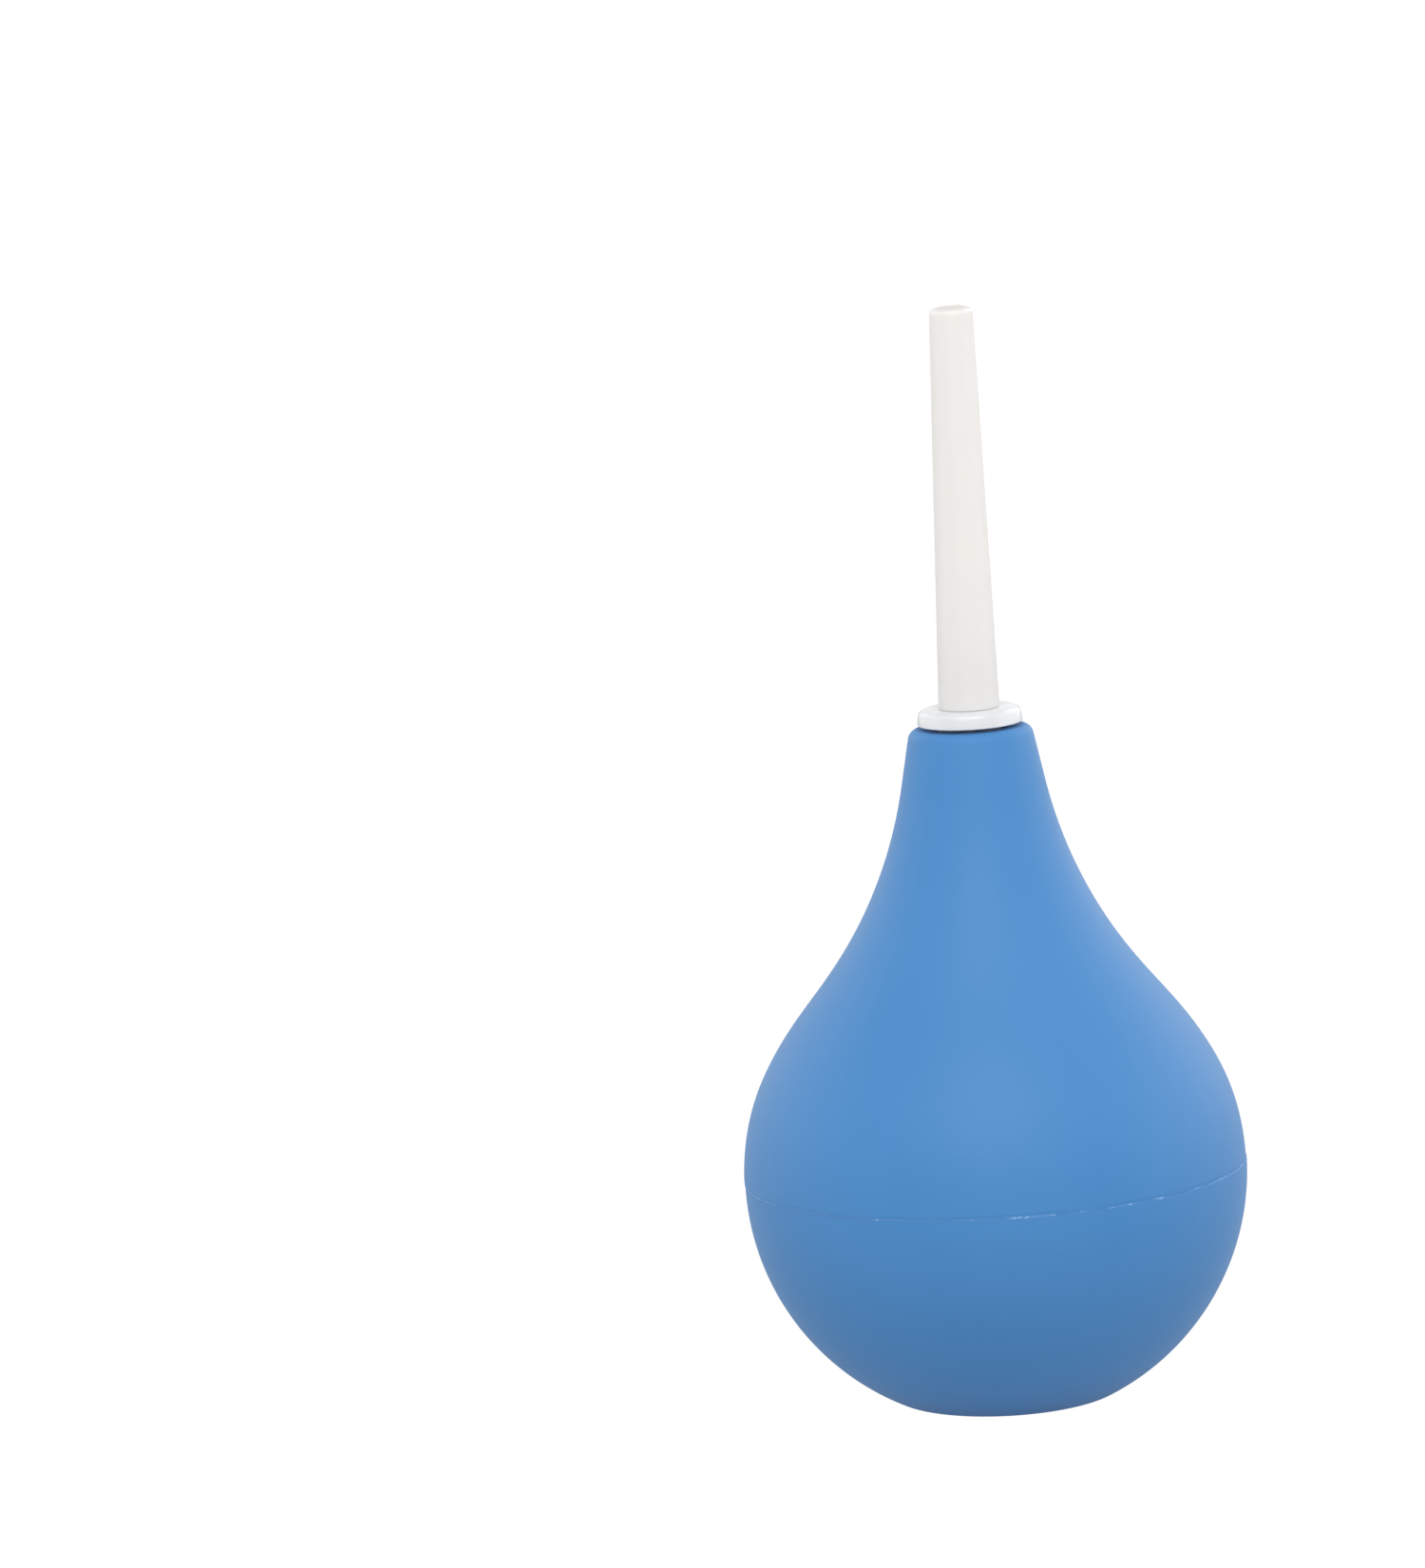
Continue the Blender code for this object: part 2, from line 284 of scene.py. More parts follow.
def plug_outline():
    """The plug's outline, down the outside of flange and spigot and up the inside of its socket.

    The flange's side leans in by its draft from the rounded lower edge to the rounded top edge.
    """
    lower_centre = np.array([FLANGE_RADIUS - FLANGE_LOWER_ROUND, FLANGE_BOTTOM + FLANGE_LOWER_ROUND])
    height_between = FLANGE_THICKNESS - FLANGE_LOWER_ROUND - FLANGE_TOP_ROUND
    wider = FLANGE_TOP_ROUND - FLANGE_LOWER_ROUND
    lean = (height_between * sin(FLANGE_DRAFT) + wider) / cos(FLANGE_DRAFT)
    top_centre = lower_centre + np.array([-lean, height_between])
    socket_centre = (SOCKET_RADIUS + SOCKET_ROUND, FLANGE_TOP - SOCKET_ROUND)
    span = FLANGE_BOTTOM - SPIGOT_BOTTOM
    first_rib = FLANGE_BOTTOM - (span - (RIB_COUNT - 1) * RIB_PITCH - RIB_LENGTH) / 2
    return joined(
        arc(socket_centre, SOCKET_ROUND, pi, pi / 2, 4),
        line((TUBE_ROOT_RADIUS, FLANGE_TOP), (top_centre[0], FLANGE_TOP), 4),
        arc(top_centre, FLANGE_TOP_ROUND, pi / 2, FLANGE_DRAFT, 16),
        arc(lower_centre, FLANGE_LOWER_ROUND, FLANGE_DRAFT, -pi / 2, 8),
        (SPIGOT_RADIUS, FLANGE_BOTTOM),
        *[rib_outline(first_rib - number * RIB_PITCH) for number in range(RIB_COUNT)],
        (SPIGOT_RADIUS, SPIGOT_BOTTOM + SPIGOT_LEAD),
        (SPIGOT_RADIUS - SPIGOT_LEAD, SPIGOT_BOTTOM),
        (AIR_HOLE_RADIUS, SPIGOT_BOTTOM),
        (AIR_HOLE_RADIUS, LEDGE_HEIGHT),
        (SOCKET_RADIUS, LEDGE_HEIGHT),
        (SOCKET_RADIUS, FLANGE_TOP - 2 * SOCKET_ROUND),
    )


def tube_outline():
    """The tube's outline, from its hole over the rounded tip, down the outside and up the bore."""
    hole_centre = (TIP_BORE_RADIUS + TIP_HOLE_ROUND, TUBE_TIP - TIP_HOLE_ROUND)
    tip_centre = (TUBE_TIP_RADIUS - TIP_ROUND, TUBE_TIP - TIP_DOME - TIP_ROUND)
    root_centre = (TUBE_ROOT_RADIUS - ROOT_ROUND, TUBE_ROOT + ROOT_ROUND)
    tail_bore = TAIL_RADIUS - TAIL_WALL
    return joined(
        arc(hole_centre, TIP_HOLE_ROUND, pi, pi / 2, 6),
        arc(tip_centre, TIP_ROUND, pi / 2, 0.0, 16),
        line((TUBE_TIP_RADIUS, tip_centre[1]), (TUBE_ROOT_RADIUS, TUBE_ROOT + ROOT_ROUND), 48),
        arc(root_centre, ROOT_ROUND, 0.0, -pi / 2, 4),
        (TAIL_RADIUS, TUBE_ROOT),
        (TAIL_RADIUS, TAIL_BOTTOM + TAIL_CHAMFER),
        (TAIL_RADIUS - TAIL_CHAMFER, TAIL_BOTTOM),
        (tail_bore, TAIL_BOTTOM),
        line((tail_bore, TAIL_BOTTOM), (TIP_BORE_RADIUS, TUBE_TIP - 2 * TIP_HOLE_ROUND), 16),
    )


# Meshes


def turned(outline, sides):
    """Grid of points: row i, side j is (radius_i cos turn_j, radius_i sin turn_j, height_i)."""
    turns = np.arange(sides) * 2 * pi / sides
    radius = outline[:, 0][:, None]
    height = np.repeat(outline[:, 1][:, None], sides, axis=1)
    return np.stack([radius * np.cos(turns), radius * np.sin(turns), height], axis=2), turns


def quads(rows, columns, wrap_rows):
    """Corner numbers of the faces between neighbouring rows and columns; columns always wrap round."""
    row = np.arange(rows if wrap_rows else rows - 1)[:, None]
    column = np.arange(columns)[None, :]
    next_row = (row + 1) % rows
    next_column = (column + 1) % columns
    corners = [
        row * columns + column,
        next_row * columns + column,
        next_row * columns + next_column,
        row * columns + next_column,
    ]
    return np.stack(np.broadcast_arrays(*corners), axis=2).reshape(-1, 4)


def fan(centre, first, columns, outward):
    """Triangles from one centre point to a ring of points, turned the way that faces outward."""
    here = first + np.arange(columns)
    after = first + (np.arange(columns) + 1) % columns
    middle = np.full(columns, centre)
    return np.stack([middle, here, after] if outward else [middle, after, here], axis=1)


SHARP_ANGLE = radians(40.0)


def piece(name, grid, ring, finish, sharp_angle=SHARP_ANGLE):
    """A closed mesh from a grid of points.

    A ring's rows wrap round. Otherwise the first and the last row are single points on the axis.
    """
    rows, columns = grid.shape[:2]
    if ring:
        points = grid.reshape(-1, 3)
        faces = quads(rows, columns, True).tolist()
    else:
        inner = grid[1:-1]
        points = np.vstack([inner.reshape(-1, 3), grid[0, :1], grid[-1, :1]])
        count = inner.shape[0] * columns
        faces = quads(rows - 2, columns, False).tolist()
        faces += fan(count, 0, columns, True).tolist()
        faces += fan(count + 1, count - columns, columns, False).tolist()
    mesh = bpy.data.meshes.new(name)
    mesh.from_pydata(points.tolist(), [], faces)
    mesh.materials.append(finish)
    mesh.shade_smooth()
    mesh.set_sharp_from_angle(angle=sharp_angle)
    made = bpy.data.objects.new(name, mesh)
    bpy.context.scene.collection.objects.link(made)
    return made


# Irregularities


def ripple(turns, lowest, highest, seed):
    """A wave round the axis: the sum of cosines of whole orders with chosen phases, about -1 to 1."""
    orders = np.arange(lowest, highest + 1)
    phases = np.random.default_rng(seed).uniform(0.0, 2 * pi, len(orders))
    return np.cos(np.outer(turns, orders) + phases).sum(axis=1) / sqrt(len(orders))


def smooth_step(value):
    """0 below 0, 1 above 1, and 3v^2 - 2v^3 between."""
    share = np.clip(value, 0.0, 1.0)
    return share * share * (3 - 2 * share)


def from_front(turns):
    """Degrees round from the front towards +X, from -180 to 180."""
    return np.degrees((turns - FRONT + pi) % (2 * pi) - pi)


def stretch(angle, start, end, fade=1.2):
    """1 between two angles in degrees, falling to 0 over the fade on each side."""
    return smooth_step((angle - start) / fade + 0.5) * smooth_step((end - angle) / fade + 0.5)


# Stretches of flash seen from the front, in degrees: where each starts and ends, and how proud it is
FLASH_STRETCHES = (
    (-88, -60, 0.75),
    (-60, -20, 0.48),
    (-20, 2, 0.40),
    (2, 13, 0.70),
    (16, 21, 0.42),
    (25, 33, 0.52),
    (37, 42, 0.45),
    (50, 53, 0.45),
    (56, 88, 0.62),
)
# Torn flecks of flash in the same degrees, and how bright each is
FLASH_FLECKS = (
    (-76, 0.7),
    (-70, 0.9),
    (-65, 0.6),
    (-28, 0.7),
    (-6, 0.5),
    (3.4, 1.0),
    (5.0, 0.8),
    (6.3, 1.0),
    (12.2, 0.9),
    (19, 0.4),
    (26.5, 0.5),
    (31, 0.7),
    (38.8, 0.8),
    (39.9, 1.0),
    (51.5, 0.8),
    (62, 0.6),
    (64.5, 0.8),
    (77, 0.9),
)
FLECK_WIDTH = 0.45  # degrees
WORN_LEVEL = 0.10  # how proud the flash is where it was trimmed flush

# Round the back, in the same degrees, a slow wave and scattered flecks take over
BACK_START = 84
BACK_FADE = 8
BACK_LEVEL = 0.45
BACK_CHANGE = 0.35
BACK_MOST = 0.8
BACK_FLECKS = 26
BACK_FLECK_PLACES = (92, 268)
BACK_FLECK_BRIGHTNESS = (0.3, 1.0)

# The ridge's section: a size everywhere, what is added where it is proud, and what where it is torn
FLASH_THICKNESS = (0.00020, 0.00009, 0.00007)
FLASH_HALF_WIDTH = (0.00006, 0.00008, 0.00011)
FLASH_PALENESS = (0.08, 0.42, 0.55)
FLASH_SINK = 0.00022  # its centre, in from the bulb's widest radius
FLASH_DROP = 0.00004  # its centre, down from the seam
SLOW_SWAY = 0.00002  # how far up and down it wanders
FINE_SWAY = 0.000012
TORN_SWAY = 0.00006
# How much a fine ripple changes the shares above
THICKNESS_JITTER = 0.4
WIDTH_JITTER = 0.5
PROUD_JITTER = 0.35
TORN_JITTER = 0.3
FLASH_TURNS = 2160
FLASH_CORNERS = 10
FLASH_SHARP_ANGLE = radians(75.0)


def flash_presence(turns):
    """How proud the flash stands round the seam, 0 to about 1, and how torn it is, 0 to 1.

    Presence is the strongest of the listed stretches, or a slow wave at the back. Torn is the sum, over
    the flecks, of brightness times exp(-(degrees away / width)^2).
    """
    angle = from_front(turns)
    back = smooth_step((np.abs(angle) - BACK_START) / BACK_FADE)
    wave = BACK_LEVEL + BACK_CHANGE * ripple(turns, 3, 22, seed=5)
    runs = [share * stretch(angle, start, end) for start, end, share in FLASH_STRETCHES]
    presence = np.maximum(np.max(runs, axis=0), WORN_LEVEL)
    presence = presence * (1 - back) + np.clip(wave, WORN_LEVEL, BACK_MOST) * back
    chance = np.random.default_rng(11)
    places = np.array([place for place, _ in FLASH_FLECKS])
    brightness = np.array([share for _, share in FLASH_FLECKS])
    places = np.concatenate([places, chance.uniform(*BACK_FLECK_PLACES, BACK_FLECKS)])
    brightness = np.concatenate([brightness, chance.uniform(*BACK_FLECK_BRIGHTNESS, BACK_FLECKS)])
    away = (angle[:, None] - places[None, :] + 180) % 360 - 180
    torn = (brightness * np.exp(-((away / FLECK_WIDTH) ** 2))).sum(axis=1)
    return presence, np.clip(torn, 0.0, 1.0)


def shift_halves(grid, towards, far_height):
    """Moves points sideways along X by HALVES_SHIFT at the seam, fading to nothing at a far height."""
    share = smooth_step((grid[:, :, 2] - far_height) / (SEAM_HEIGHT - far_height))
    grid[:, :, 0] += towards * HALVES_SHIFT * share
    return grid


def upper_skin(finish):
    """The upper half, with a shallow groove of changing depth just above its rim.

    The groove takes depth times exp(-((height - middle) / width)^2) off the radius.
    """
    grid, turns = turned(upper_outline(), BULB_SIDES)
    radius = np.hypot(grid[:, :, 0], grid[:, :, 1])
    outside = radius > BULB_RADIUS - GROOVE_REACH
    middle = SEAM_HEIGHT + GROOVE_RISE
    bell = np.exp(-(((grid[:, :, 2] - middle) / GROOVE_WIDTH) ** 2)) * outside
    depth = GROOVE_DEPTH * (1 - GROOVE_CHANGE + GROOVE_CHANGE * ripple(turns, 4, 30, seed=3))
    change = 1 - bell * depth / np.maximum(radius, 1e-6)
    grid[:, :, 0] *= change
    grid[:, :, 1] *= change
    return piece("upper_skin", shift_halves(grid, -1.0, BULB_HEIGHT), True, finish)


def lower_skin(finish):
    """The lower half: its outline carried round the axis, its two ends on the axis."""
    grid, _ = turned(lower_outline(), BULB_SIDES)
    return piece("lower_skin", shift_halves(grid, 1.0, 0.0), False, finish)


def leaning_tube(finish):
    """The tube, with every point above the flange moved along X by lean times its height above it."""
    grid, _ = turned(tube_outline(), TUBE_SIDES)
    grid[:, :, 0] += TUBE_LEAN * np.maximum(grid[:, :, 2] - TUBE_ROOT, 0.0)
    return piece("tube", grid, True, finish)


def seam_flash(finish):
    """The thin broken ridge of flash round the seam, as a ring with an oval section.

    The section's centre is at (widest radius - sink, seam height - drop + sway), and its corners are
    that plus (thickness cos corner, half width sin corner). Thickness, half width and paleness are each
    a size everywhere, plus one times how proud, plus one times how torn the flash is at that turn.
    """
    turns = np.arange(FLASH_TURNS) * 2 * pi / FLASH_TURNS
    proud, torn = flash_presence(turns)
    jitter = ripple(turns, 60, 400, seed=7)
    slow = ripple(turns, 6, 40, seed=8)
    ragged = ripple(turns, 80, 420, seed=9)
    torn_sway = TORN_SWAY * torn * ripple(turns, 90, 300, seed=10)
    plain, more_proud, more_torn = FLASH_THICKNESS
    thickness = plain + more_proud * proud + more_torn * torn * (1 + THICKNESS_JITTER * jitter)
    plain, more_proud, more_torn = FLASH_HALF_WIDTH
    half_width = plain + more_proud * proud + more_torn * torn * (1 + WIDTH_JITTER * ragged)
    plain, more_proud, more_torn = FLASH_PALENESS
    pale = plain + more_proud * proud * (1 + PROUD_JITTER * jitter)
    pale += torn * (more_torn + TORN_JITTER * jitter)
    sway = SLOW_SWAY * slow + FINE_SWAY * jitter + torn_sway
    corner = -np.arange(FLASH_CORNERS)[:, None] * 2 * pi / FLASH_CORNERS
    radius = BULB_RADIUS - FLASH_SINK + thickness * np.cos(corner)
    height = SEAM_HEIGHT - FLASH_DROP + sway + half_width * np.sin(corner)
    grid = np.stack([radius * np.cos(turns), radius * np.sin(turns), height], axis=2)
    made = piece("seam_flash", grid, True, finish, FLASH_SHARP_ANGLE)
    rawness = made.data.attributes.new("rawness", "FLOAT", "POINT")
    round_section = np.tile(np.clip(pale, 0.0, 1.0), FLASH_CORNERS)
    rawness.data.foreach_set("value", round_section.astype(np.float32))
    return made


# Finishes


def new_group(name, inputs, outputs):
    """An empty shader node group with the named (name, socket type, default) inputs and outputs."""
    group = bpy.data.node_groups.new(name, "ShaderNodeTree")
    for label, kind, default in inputs:
        socket = group.interface.new_socket(name=label, in_out="INPUT", socket_type=kind)
        if default is not None:
            socket.default_value = default
    for label, kind in outputs:
        group.interface.new_socket(name=label, in_out="OUTPUT", socket_type=kind)
    return group, group.nodes.new("NodeGroupInput"), group.nodes.new("NodeGroupOutput")


def add(tree, kind, settings=None, values=None, links=None):
    """A node with its settings, input values and input links, each given by name or number."""
    node = tree.nodes.new(kind)
    for key, value in (settings or {}).items():
        setattr(node, key, value)
    for key, value in (values or {}).items():
        node.inputs[key].default_value = value
    for key, source in (links or {}).items():
        tree.links.new(source, node.inputs[key])
    return node


def calculated(tree, operation, *sides, clamp=False):
    """Output of a Math node. Each side is a socket or a number."""
    node = tree.nodes.new("ShaderNodeMath")
    node.operation = operation
    node.use_clamp = clamp
    for number, side in enumerate(sides):
        if isinstance(side, bpy.types.NodeSocket):
            tree.links.new(side, node.inputs[number])
        else:
            node.inputs[number].default_value = side
    return node.outputs[0]


def mixed(tree, factor, first, second):
    """Output of a colour Mix node. Each colour is a socket or an RGBA value."""
    node = tree.nodes.new("ShaderNodeMix")
    node.data_type = "RGBA"
    for key, side in ((0, factor), (6, first), (7, second)):
        if isinstance(side, bpy.types.NodeSocket):
            tree.links.new(side, node.inputs[key])
        else:
            node.inputs[key].default_value = side
    return node.outputs[2]


def noise(tree, vector, scale, detail):
    """Value of a Noise node at a vector, its scale in waves per metre."""
    values = {"Scale": scale, "Detail": detail}
    return add(tree, "ShaderNodeTexNoise", None, values, {"Vector": vector}).outputs["Fac"]


# Scales of the patterns, in waves per metre, and how sharply the mottle's two shades part
GRAIN_SCALE = 4200.0
WAVE_SCALE = 170.0
MOTTLE_CONTRAST = 2.2
MOTTLE_OFFSET = -0.6


def mould_grain_group():
    """Height of a moulded surface: a slow waviness plus a fine grain, each times its own share."""
    group, given, result = new_group(
        "mould_grain",
        [
            ("Vector", "NodeSocketVector", None),
            ("Grain Share", "NodeSocketFloat", 0.5),
            ("Wave Share", "NodeSocketFloat", 0.5),
        ],
        [("Height", "NodeSocketFloat")],
    )
    fine = noise(group, given.outputs["Vector"], GRAIN_SCALE, 2.0)
    wave = noise(group, given.outputs["Vector"], WAVE_SCALE, 1.0)
    fine_part = calculated(group, "MULTIPLY", fine, given.outputs["Grain Share"])
    wave_part = calculated(group, "MULTIPLY", wave, given.outputs["Wave Share"])
    group.links.new(calculated(group, "ADD", fine_part, wave_part), result.inputs["Height"])
    return group


def mottle_group():
    """Colour between two shades by a slow noise, and a mask of the same slow noise."""
    group, given, result = new_group(
        "soft_mottle",
        [
            ("Vector", "NodeSocketVector", None),
            ("Shade", "NodeSocketColor", (0.5, 0.5, 0.5, 1.0)),
            ("Other Shade", "NodeSocketColor", (0.5, 0.5, 0.5, 1.0)),
            ("Scale", "NodeSocketFloat", 40.0),
        ],
        [("Color", "NodeSocketColor"), ("Mask", "NodeSocketFloat")],
    )
    cloud = add(
        group,
        "ShaderNodeTexNoise",
        None,
        {"Detail": 3.0, "Roughness": 0.55},
        {"Vector": given.outputs["Vector"], "Scale": given.outputs["Scale"]},
    ).outputs["Fac"]
    spread = calculated(group, "MULTIPLY_ADD", cloud, MOTTLE_CONTRAST, MOTTLE_OFFSET, clamp=True)
    colour = mixed(group, spread, given.outputs["Shade"], given.outputs["Other Shade"])
    group.links.new(colour, result.inputs["Color"])
    group.links.new(spread, result.inputs["Mask"])
    return group


def specks_group():
    """Mask of sparse specks: near a cell's centre, in the share of cells whose random value is high."""
    group, given, result = new_group(
        "sparse_specks",
        [
            ("Vector", "NodeSocketVector", None),
            ("Scale", "NodeSocketFloat", 400.0),
            ("Size", "NodeSocketFloat", 0.08),
            ("Share", "NodeSocketFloat", 0.03),
        ],
        [("Mask", "NodeSocketFloat")],
    )
    cells = add(
        group,
        "ShaderNodeTexVoronoi",
        None,
        None,
        {"Vector": given.outputs["Vector"], "Scale": given.outputs["Scale"]},
    )
    draw = add(group, "ShaderNodeSeparateColor", None, None, {"Color": cells.outputs["Color"]})
    chosen = calculated(group, "LESS_THAN", draw.outputs[0], given.outputs["Share"])
    size = calculated(group, "MULTIPLY", given.outputs["Size"], draw.outputs[1])
    near = calculated(group, "LESS_THAN", cells.outputs["Distance"], size)
    group.links.new(calculated(group, "MULTIPLY", chosen, near), result.inputs["Mask"])
    return group


GRAIN = mould_grain_group()
MOTTLE = mottle_group()
SPECKS = specks_group()


def new_finish(name):
    """A material with its tree, its Principled shader and its object coordinates."""
    finish = bpy.data.materials.new(name)
    finish.use_nodes = True
    tree = finish.node_tree
    shader = tree.nodes["Principled BSDF"]
    coordinates = add(tree, "ShaderNodeTexCoord").outputs["Object"]
    return finish, tree, shader, coordinates


def grouped(tree, group, values, links):
    """A node group placed in a material with its own values."""
    return add(tree, "ShaderNodeGroup", {"node_tree": group}, values, links)


def bumped(tree, shader, height, strength):
    """Feeds the shader's normal from a height through a Bump node."""
    values = {"Distance": BUMP_DISTANCE, "Strength": strength}
    bump = add(tree, "ShaderNodeBump", None, values, {"Height": height})
    tree.links.new(bump.outputs["Normal"], shader.inputs["Normal"])


def between(tree, mask, low, high):
    """A value from low to high as a mask goes from 0 to 1."""
    node = add(tree, "ShaderNodeMapRange", None, {"To Min": low, "To Max": high}, {"Value": mask})
    return node.outputs["Result"]


BUMP_DISTANCE = 0.0002
BLUE = (0.056, 0.248, 0.578, 1.0)
BLUE_OTHER = (0.063, 0.259, 0.590, 1.0)
BLUE_SPECK = (0.30, 0.47, 0.72, 1.0)
FLASH_PALE = (0.33, 0.54, 0.84, 1.0)
PLUG_WHITE = (0.81, 0.82, 0.835, 1.0)
PLUG_WHITE_OTHER = (0.79, 0.805, 0.825, 1.0)
TUBE_WHITE = (0.88, 0.852, 0.82, 1.0)
TUBE_WHITE_OTHER = (0.865, 0.842, 0.815, 1.0)
TUBE_FOOT_PAINTED_SHADE = (0.805, 0.795, 0.785, 1.0)  # painted shade: the tube's colour is darker at its root, where the flange shades it
TUBE_FOOT_SHADE_HEIGHT = 0.016

# Roughness where the finish's own mask is 0 and where it is 1
RUBBER_ROUGHNESS = (0.56, 0.63)
FLASH_ROUGHNESS = (0.6, 0.75)
PLUG_ROUGHNESS = (0.16, 0.22)
TUBE_ROUGHNESS = (0.38, 0.46)
RUBBER_SHEEN = 0.09
RUBBER_SHEEN_ROUGHNESS = 0.4


def rubber_finish():
    """Matt moulded rubber: two close blues, a fine grain, sparse pale dust and a handled sheen."""
    finish, tree, shader, place = new_finish("bulb_rubber")
    mottle = grouped(
        tree,
        MOTTLE,
        {"Shade": BLUE, "Other Shade": BLUE_OTHER, "Scale": 45.0},
        {"Vector": place},
    )
    specks = grouped(tree, SPECKS, {"Scale": 330.0, "Size": 0.11, "Share": 0.012}, {"Vector": place})
    colour = mixed(tree, specks.outputs["Mask"], mottle.outputs["Color"], BLUE_SPECK)
    tree.links.new(colour, shader.inputs["Base Color"])
    roughness = between(tree, mottle.outputs["Mask"], *RUBBER_ROUGHNESS)
    tree.links.new(roughness, shader.inputs["Roughness"])
    shader.inputs["Sheen Weight"].default_value = RUBBER_SHEEN
    shader.inputs["Sheen Roughness"].default_value = RUBBER_SHEEN_ROUGHNESS
    grain = grouped(tree, GRAIN, {"Grain Share": 0.35, "Wave Share": 0.65}, {"Vector": place})
    bumped(tree, shader, grain.outputs["Height"], 0.10)
    return finish


def flash_finish():
    """The torn flash: the bulb's blue turning pale where the ridge is raw."""
    finish, tree, shader, place = new_finish("flash_rubber")
    rawness = add(tree, "ShaderNodeAttribute", {"attribute_name": "rawness"}).outputs["Fac"]
    colour = mixed(tree, rawness, BLUE, FLASH_PALE)
    tree.links.new(colour, shader.inputs["Base Color"])
    roughness = between(tree, rawness, *FLASH_ROUGHNESS)
    tree.links.new(roughness, shader.inputs["Roughness"])
    grain = grouped(tree, GRAIN, {"Grain Share": 0.9, "Wave Share": 0.1}, {"Vector": place})
    bumped(tree, shader, grain.outputs["Height"], 0.3)
    return finish


def plastic_finish(name, shades, roughness_range, grain_strength, mottle_scale, foot=None):
    """Moulded plastic: two close shades, a roughness that wanders, and a faint grain.

    Foot is (height, height above it, shade): a painted shade, darker towards the foot where the flange
    shades it, that fades out between the two heights.
    """
    finish, tree, shader, place = new_finish(name)
    mottle = grouped(
        tree,
        MOTTLE,
        {"Shade": shades[0], "Other Shade": shades[1], "Scale": mottle_scale},
        {"Vector": place},
    )
    colour = mottle.outputs["Color"]
    # painted shade: the colour darkens towards the tube's foot, standing in for the shade that the flange
    # casts there
    if foot:
        height = add(tree, "ShaderNodeSeparateXYZ", None, None, {"Vector": place}).outputs["Z"]
        smooth = {"interpolation_type": "SMOOTHSTEP"}
        span = {"From Min": foot[0], "From Max": foot[1]}
        faded = add(tree, "ShaderNodeMapRange", smooth, span, {"Value": height})
        colour = mixed(tree, faded.outputs["Result"], foot[2], colour)
    tree.links.new(colour, shader.inputs["Base Color"])
    roughness = between(tree, mottle.outputs["Mask"], *roughness_range)
    tree.links.new(roughness, shader.inputs["Roughness"])
    grain = grouped(tree, GRAIN, {"Grain Share": 0.3, "Wave Share": 0.7}, {"Vector": place})
    bumped(tree, shader, grain.outputs["Height"], grain_strength)
    return finish


rubber = rubber_finish()
flash_rubber = flash_finish()
plug_gloss = plastic_finish(
    "plug_gloss",
    (PLUG_WHITE, PLUG_WHITE_OTHER),
    PLUG_ROUGHNESS,
    grain_strength=0.03,
    mottle_scale=120.0,
)
tube_satin = plastic_finish(
    "tube_satin",
    (TUBE_WHITE, TUBE_WHITE_OTHER),
    TUBE_ROUGHNESS,
    grain_strength=0.06,
    mottle_scale=90.0,
    foot=(FLANGE_TOP, FLANGE_TOP + TUBE_FOOT_SHADE_HEIGHT, TUBE_FOOT_PAINTED_SHADE),
)


# Pieces, and the bodies that they ride on

upper = upper_skin(rubber)
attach(upper, "upper_bulb")
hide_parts("bulb_upper")

lower = lower_skin(rubber)
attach(lower, "lower_bulb")
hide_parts("bulb_lower")

flash = seam_flash(flash_rubber)
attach(flash, "upper_bulb")

plug_grid, _ = turned(plug_outline(), PLUG_SIDES)
plug = piece("plug", plug_grid, True, plug_gloss)
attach(plug, "plug")
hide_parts("nozzle_plug")

tube = leaning_tube(tube_satin)
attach(tube, "tube")
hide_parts("nozzle_tube")

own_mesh(lower)


# Studio

FLOOR_HALF = 8.0
FLOOR_DROP = 0.0001
FLOOR_SHADE = (0.50, 0.50, 0.50, 1.0)
SHOWN_WHITE = 1.08
SHOWN_SHARE = 0.96  # how much of the floor's shading is washed out in what is shown of it
GLOW_SHARE = 0.26  # the same for the light that the floor, a lit table, throws up at the object
SKY_STRENGTH = 0.02
MIDDLE = (0.0, 0.0, 0.06)  # what most of the softboxes face


def floor():
    """A wide square just under the base: a matt pale table, lit from below, shown nearly white."""
    mesh = bpy.data.meshes.new("floor")
    signs = [(-1, -1), (1, -1), (1, 1), (-1, 1)]
    corners = [(x * FLOOR_HALF, y * FLOOR_HALF, -FLOOR_DROP) for x, y in signs]
    mesh.from_pydata(corners, [], [(0, 1, 2, 3)])
    made = bpy.data.objects.new("floor", mesh)
    bpy.context.scene.collection.objects.link(made)
    finish, tree, shader, _ = new_finish("floor_white")
    shader.inputs["Base Color"].default_value = FLOOR_SHADE
    shader.inputs["Roughness"].default_value = 1.0
    shader.inputs["Specular IOR Level"].default_value = 0.0
    white = add(tree, "ShaderNodeEmission", None, {"Strength": SHOWN_WHITE})
    shown = add(tree, "ShaderNodeLightPath").outputs["Is Camera Ray"]
    share = between(tree, shown, GLOW_SHARE, SHOWN_SHARE)
    links = {0: share, 1: shader.outputs["BSDF"], 2: white.outputs["Emission"]}
    washed = add(tree, "ShaderNodeMixShader", None, None, links)
    tree.links.new(washed.outputs["Shader"], tree.nodes["Material Output"].inputs["Surface"])
    mesh.materials.append(finish)


def softbox(name, place, aim, size, power):
    """A square area light at a place, facing the aim, and itself not shown."""
    lamp = bpy.data.lights.new(name, "AREA")
    lamp.shape = "SQUARE"
    lamp.size = size
    lamp.energy = power
    made = bpy.data.objects.new(name, lamp)
    made.location = place
    made.rotation_mode = "QUATERNION"
    made.rotation_quaternion = (Vector(aim) - Vector(place)).to_track_quat("-Z", "Y")
    made.visible_camera = False
    bpy.context.scene.collection.objects.link(made)


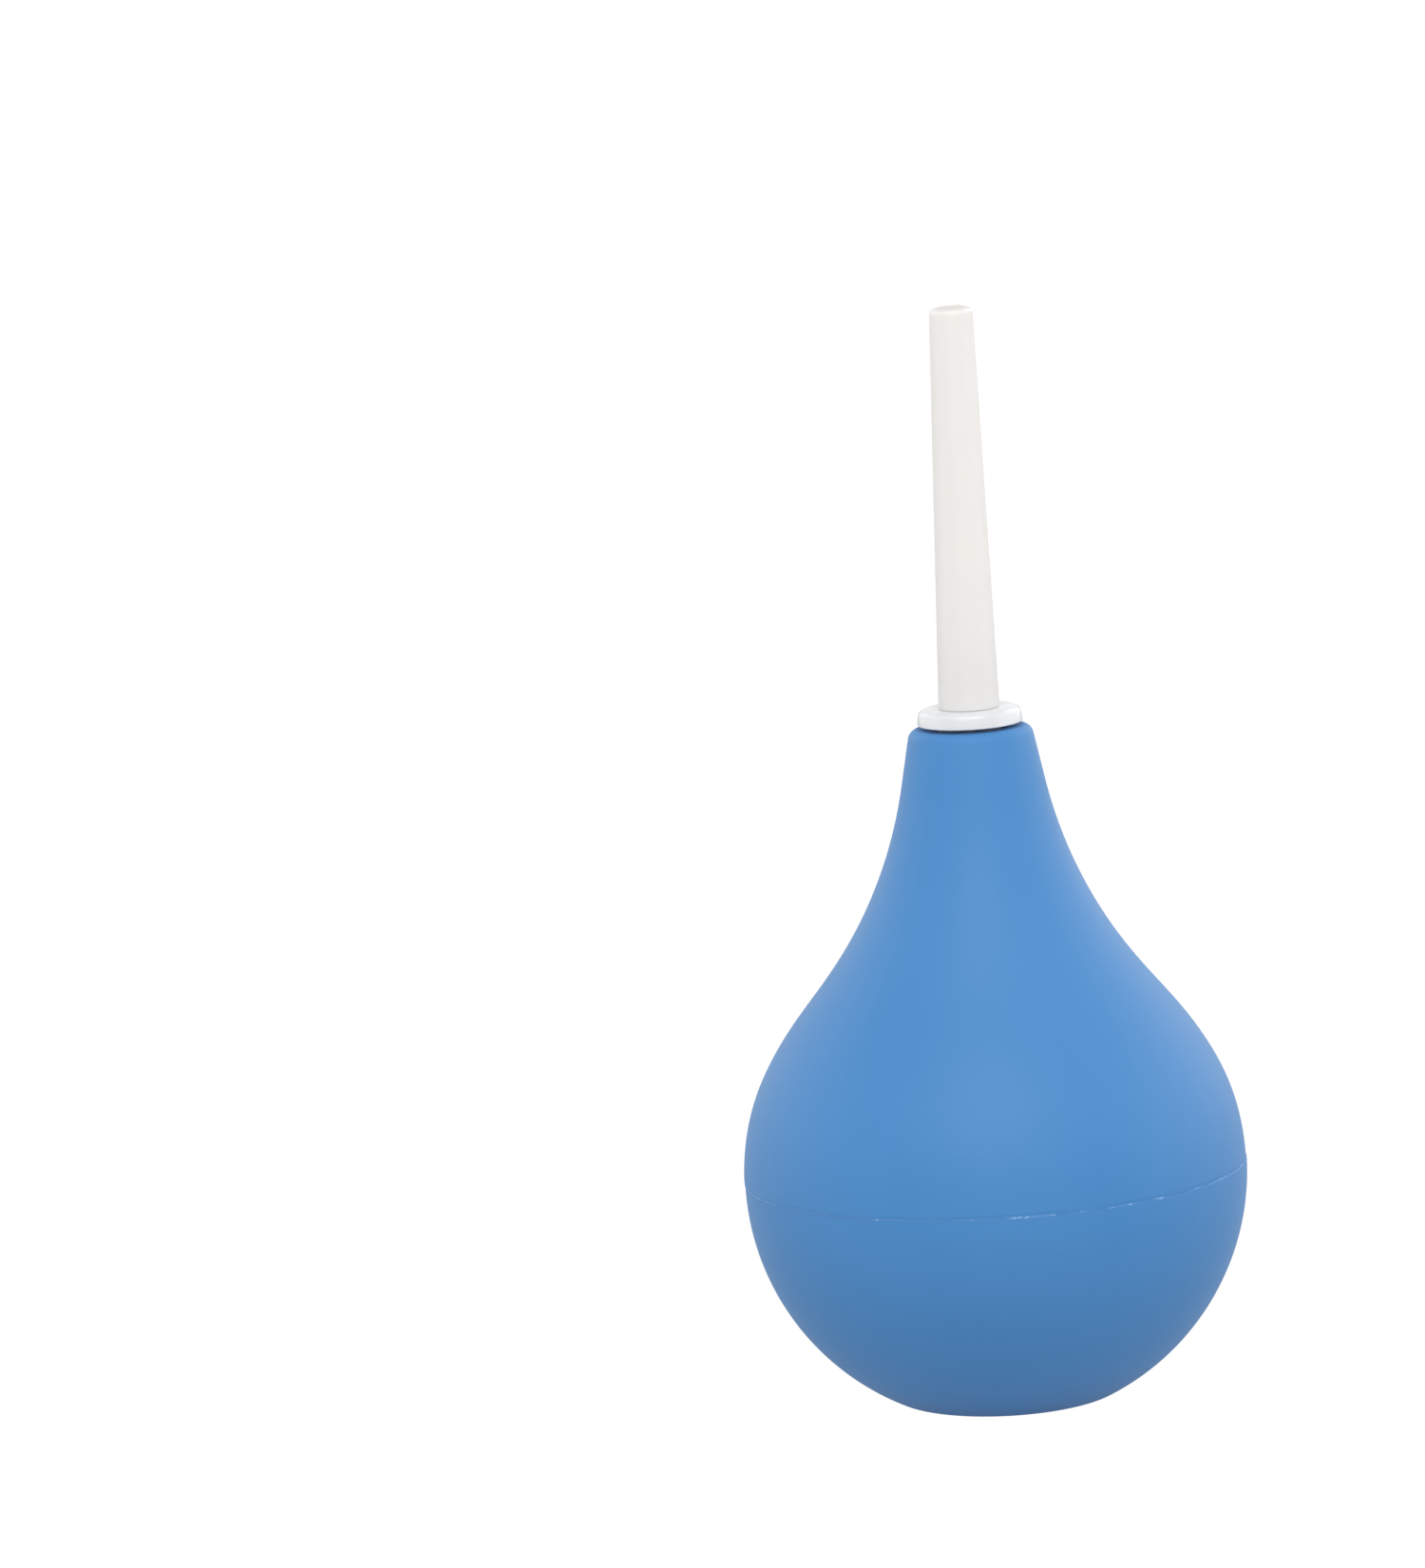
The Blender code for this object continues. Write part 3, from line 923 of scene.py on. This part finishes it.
def surroundings(strength):
    """An even white sky of this strength, shown as plain white."""
    world = bpy.data.worlds.new("studio")
    world.use_nodes = True
    tree = world.node_tree
    shown = add(tree, "ShaderNodeLightPath").outputs["Is Camera Ray"]
    sky = tree.nodes["Background"]
    sky.inputs["Color"].default_value = (1.0, 1.0, 1.0, 1.0)
    tree.links.new(between(tree, shown, strength, SHOWN_WHITE), sky.inputs["Strength"])
    bpy.context.scene.world = world


floor()
surroundings(SKY_STRENGTH)
softbox("front_top", (0.0, -1.7, 1.5), MIDDLE, 2.2, 42.5)
softbox("near_top", (0.0, -0.30, 0.62), (0.0, 0.0, 0.10), 0.40, 0.5)
softbox("right", (1.6, 0.0, 0.5), MIDDLE, 1.6, 12.8)
softbox("left", (-1.6, 0.0, 0.5), MIDDLE, 1.6, 10.3)
softbox("right_back", (1.3, 1.5, 0.85), MIDDLE, 1.8, 19.5)
softbox("left_back", (-1.3, 1.5, 0.85), MIDDLE, 1.8, 15.5)
softbox("behind", (0.0, 2.2, 0.55), (0.0, 0.0, 0.12), 1.0, 3.0)

scene = bpy.context.scene
scene.view_settings.view_transform = "Standard"
scene.view_settings.look = "None"
scene.view_settings.exposure = 0.0
scene.view_settings.gamma = 1.0


# Camera

CAMERA_DISTANCE = 1.470
CAMERA_ELEVATION = radians(10.62)
CAMERA_ROLL = radians(-3.2)
CAMERA_LENS = 197.3
CAMERA_SENSOR = 36.0
AIM_POINT = Vector((0.0, 0.0, 0.060))
AIM_LEFT = 0.03212  # the optical axis passes this much, as a slope, to the left of the aim point
AIM_ABOVE = 0.03104


def camera():
    """The camera, built from its forward, right and up directions, rolled and turned off the aim."""
    forward = Vector((0.0, cos(CAMERA_ELEVATION), -sin(CAMERA_ELEVATION)))
    level_right = Vector((1.0, 0.0, 0.0))
    level_up = level_right.cross(forward)
    right = cos(CAMERA_ROLL) * level_right + sin(CAMERA_ROLL) * level_up
    up = cos(CAMERA_ROLL) * level_up - sin(CAMERA_ROLL) * level_right
    ahead = (forward - AIM_LEFT * right + AIM_ABOVE * up).normalized()
    across = ahead.cross(up).normalized()
    upright = across.cross(ahead)
    data = bpy.data.cameras.new("camera")
    data.lens = CAMERA_LENS
    data.sensor_width = CAMERA_SENSOR
    data.clip_start = 0.05
    data.clip_end = 40.0
    made = bpy.data.objects.new("camera", data)
    turn = Matrix((across, upright, -ahead)).transposed()
    made.matrix_world = Matrix.Translation(AIM_POINT - CAMERA_DISTANCE * forward) @ turn.to_4x4()
    scene.collection.objects.link(made)
    scene.camera = made


camera()
